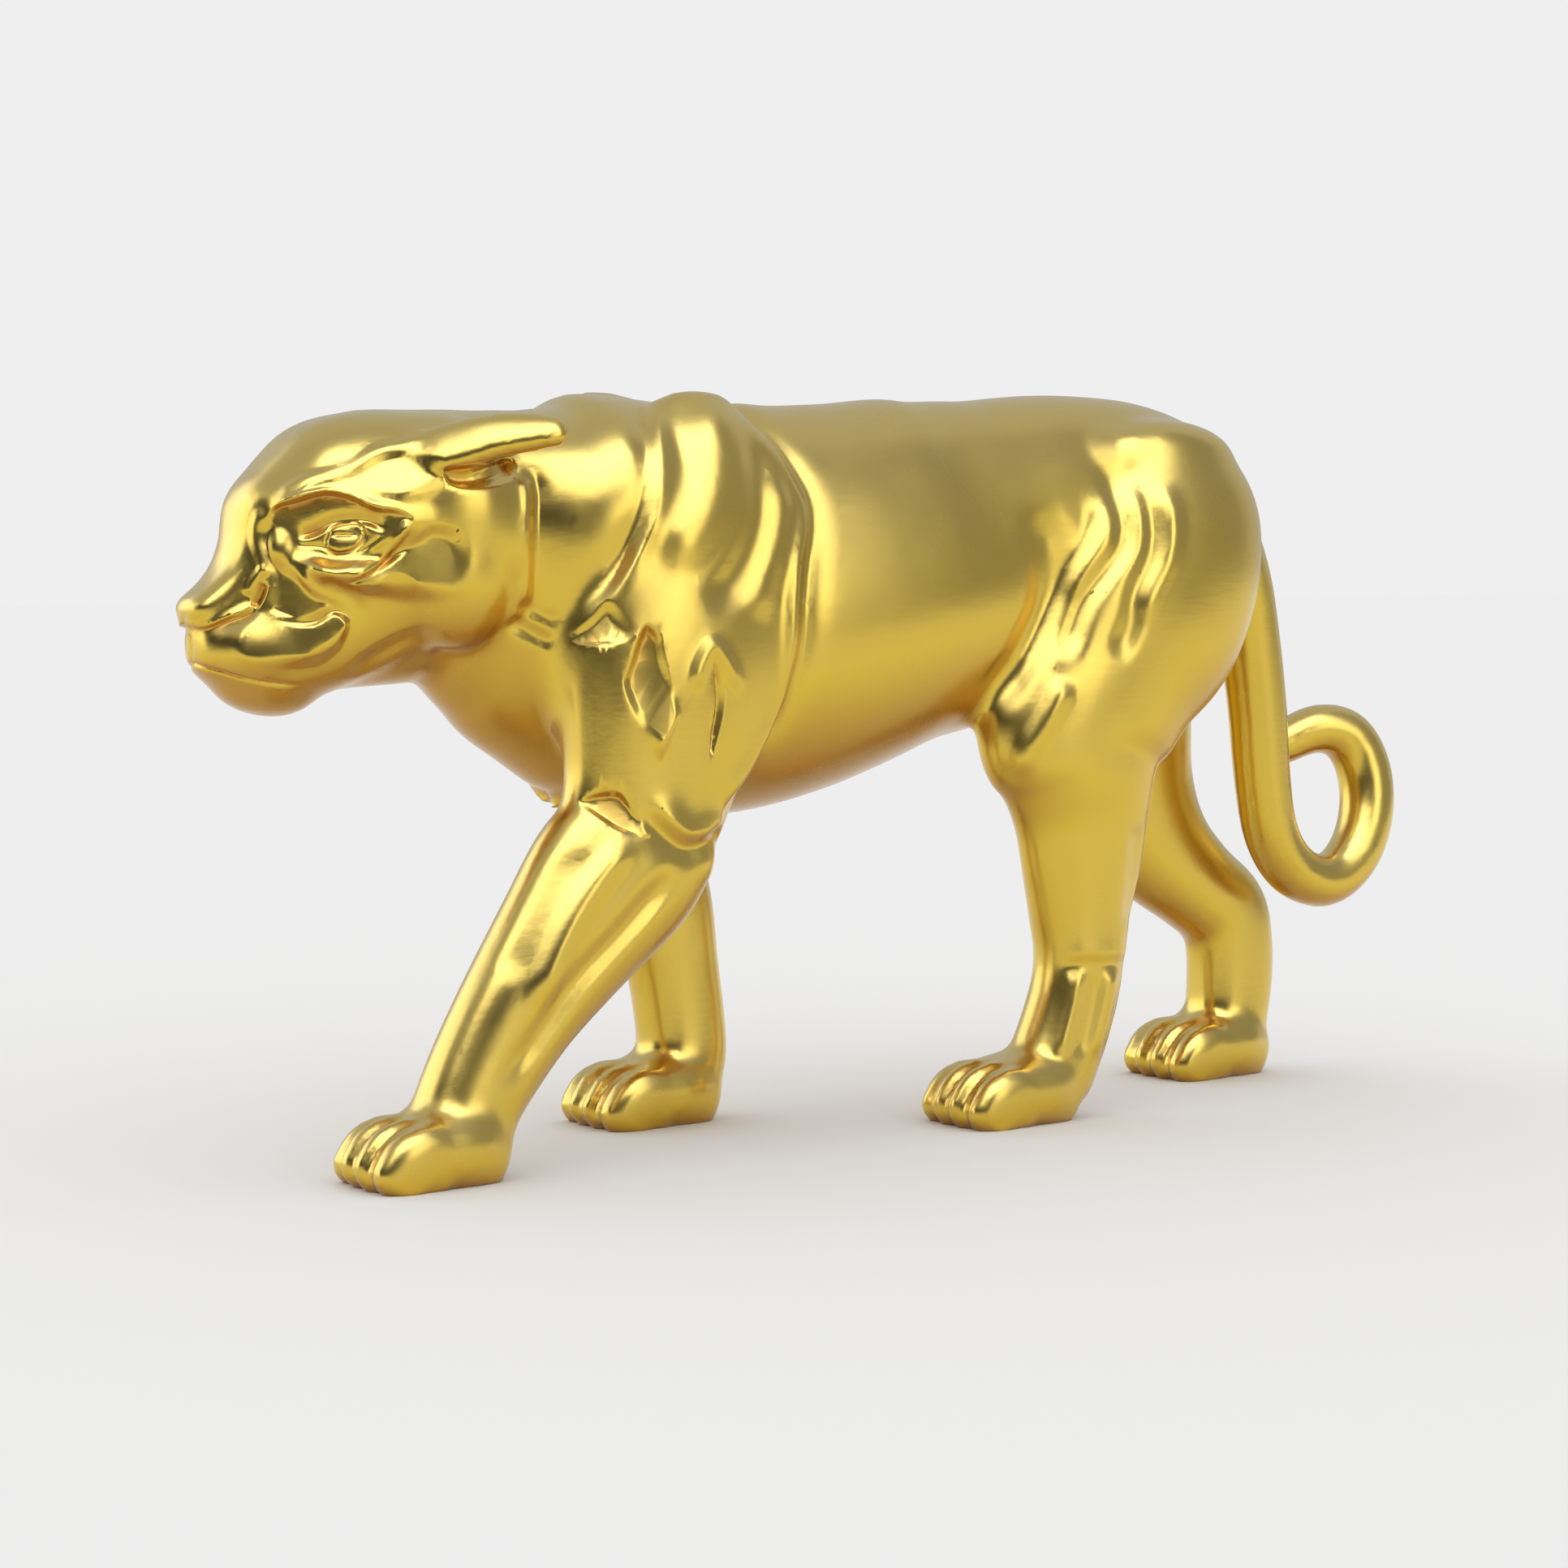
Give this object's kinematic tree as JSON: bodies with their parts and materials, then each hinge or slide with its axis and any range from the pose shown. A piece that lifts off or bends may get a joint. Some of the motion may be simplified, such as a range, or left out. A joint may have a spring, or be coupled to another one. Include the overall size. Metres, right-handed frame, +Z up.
{
  "type": "panther sculpture",
  "caption": "Walking panther statuette in one casting, head low, ears laid back, tail in a forward curl, standing on its paws, bright gold finish.",
  "frame": {"origin": "centre of the bounding box on the surface that the four soles stand on", "axes": "-X ahead (the head end), +X back (the tail end), -Y the panther's left side, +Z up"},
  "size_m": [0.4776, 0.1136, 0.2434],
  "materials": {
    "gold_steel": "polished and gold-plated, satin gloss"
  },
  "bodies": {
    "root": {"panther": "gold_steel"}
  },
  "joints": []
}
